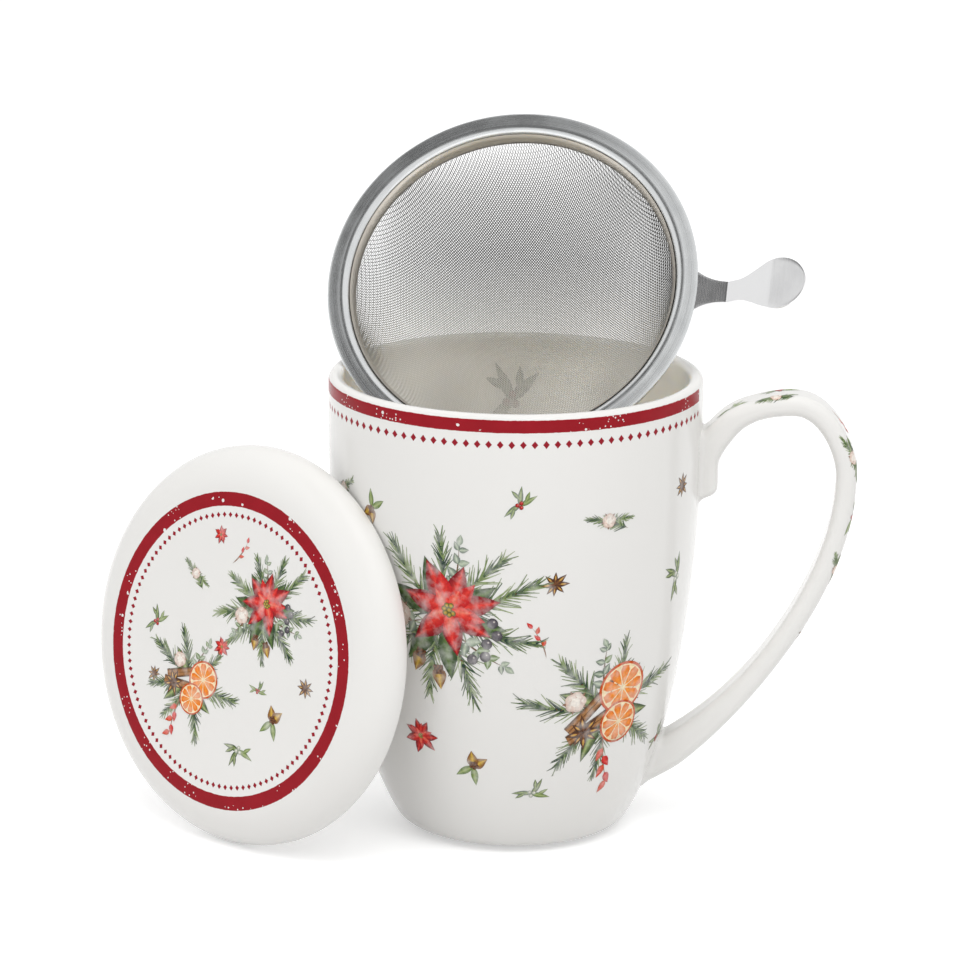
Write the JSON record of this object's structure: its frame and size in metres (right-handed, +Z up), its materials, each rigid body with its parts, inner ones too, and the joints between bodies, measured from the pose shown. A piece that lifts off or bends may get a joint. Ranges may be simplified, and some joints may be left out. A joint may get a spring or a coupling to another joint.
{
  "type": "lidded tea mug with infuser",
  "caption": "Tapered porcelain tea mug with a tall ear handle, a loose shoulder lid leaning beside it and a lift-out wire mesh infuser with a bent thumb tab.",
  "frame": {"origin": "the mug's own axis at the level of the table it stands on, in the middle of its foot ring", "axes": "+X from the mug's axis to its handle, +Z up along the mug's axis, -Y to the side that the tipped infuser opens to"},
  "size_m": [0.1805, 0.0967, 0.1648],
  "materials": {
    "porcelain": "clear gloss glaze, with a printed red band, a diamond border and scattered winter motifs",
    "pressed_steel": "satin pressed stainless, bright on the bends",
    "band_steel": "satin stainless strip",
    "wire_mesh": "fine woven stainless wire"
  },
  "bodies": {
    "mug": {"mug_body": "porcelain", "mug_handle": "porcelain"},
    "lid_piece": {"lid": "porcelain"},
    "infuser": {"infuser_rim": "pressed_steel", "infuser_inner_band": "band_steel", "infuser_mesh": "wire_mesh", "infuser_tab": "pressed_steel"}
  },
  "joints": [
    {"name": "infuser_lift", "type": "slide", "parent": "mug", "child": "infuser", "axis": [0, 0, 1], "range_m": [0, 0.12]},
    {"name": "lid_lift", "type": "slide", "parent": "mug", "child": "lid_piece", "axis": [-0.5604, -0.8109, 0.1685], "range_m": [0, 0.12]}
  ]
}
